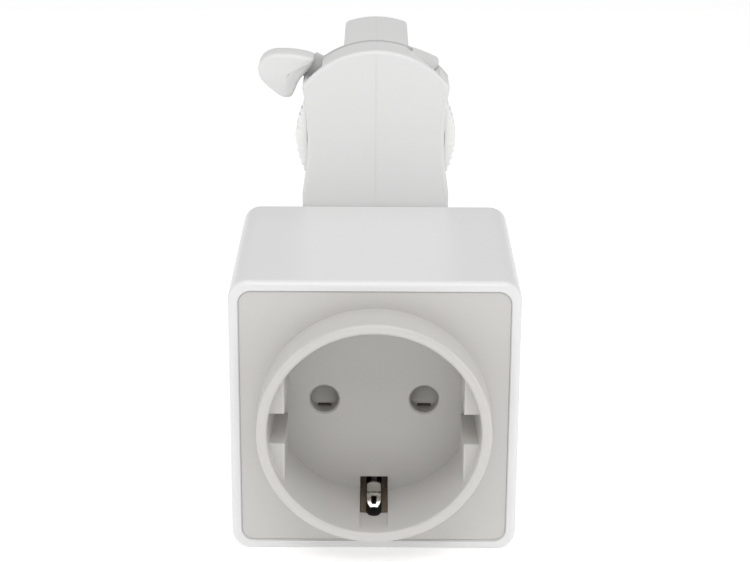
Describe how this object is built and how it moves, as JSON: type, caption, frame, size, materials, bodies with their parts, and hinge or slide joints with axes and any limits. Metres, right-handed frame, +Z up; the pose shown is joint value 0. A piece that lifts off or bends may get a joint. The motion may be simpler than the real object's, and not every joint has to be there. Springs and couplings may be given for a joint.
{
  "type": "track socket adapter",
  "caption": "Square earthed socket outlet box with a round shuttered well, carried on a track adapter with a thumbwheel selector and a swinging lock lever.",
  "frame": {"origin": "centre of the bounding box on the plane of the box's underside", "axes": "+Z up, the socket faces -Y, the insert that enters the track points to +Y, +X to the right of a person facing the socket"},
  "size_m": [0.0536, 0.092, 0.0857],
  "materials": {
    "white_plastic": "moulded, satin gloss",
    "adapter_plastic": "moulded, satin",
    "grey_plastic": "moulded, matte",
    "brass": "stamped",
    "nickel": "nickel plated spring strip",
    "steel": "zinc plated",
    "blue_wire": "smooth insulation",
    "brown_wire": "smooth insulation",
    "green_wire": "smooth insulation"
  },
  "bodies": {
    "housing": {"box_housing": "white_plastic", "front_plate": "white_plastic", "contact_base": "grey_plastic", "contact_left": "brass", "contact_right": "brass", "earth_bracket": "nickel", "shutter_spring": "steel", "base_screws": "steel", "terminal_screws": "steel", "nipple": "steel", "nipple_nuts": "steel", "nipple_washer": "steel", "adapter_left": "adapter_plastic", "adapter_right": "adapter_plastic", "adapter_screws": "steel", "phase_brush": "brass", "neutral_brush": "brass", "earth_blade": "brass", "wire_neutral": "blue_wire", "wire_live": "brown_wire", "wire_earth": "green_wire"},
    "shutter": {"shutter": "grey_plastic"},
    "lock": {"lock_lever": "adapter_plastic", "lock_shaft": "grey_plastic", "neutral_blade": "brass"},
    "selector": {"selector_wheel": "adapter_plastic", "selector_shaft": "grey_plastic", "phase_blades": "brass"}
  },
  "joints": [
    {"name": "shutter_slide", "type": "slide", "parent": "housing", "child": "shutter", "axis": [0, 0, -1], "range_m": [0, 0.0062], "stiffness_N_per_m": 8, "springref_m": -0.002, "deforming": ["shutter_spring"]},
    {"name": "lock_swing", "type": "hinge", "parent": "housing", "child": "lock", "pos_m": [0, 0.0196, 0.0672], "axis": [0, 1, 0], "range_deg": [0, 57]},
    {"name": "selector_turn", "type": "hinge", "parent": "housing", "child": "selector", "pos_m": [0, 0.0148, 0.0672], "axis": [0, 1, 0], "range_deg": [0, 135]}
  ]
}
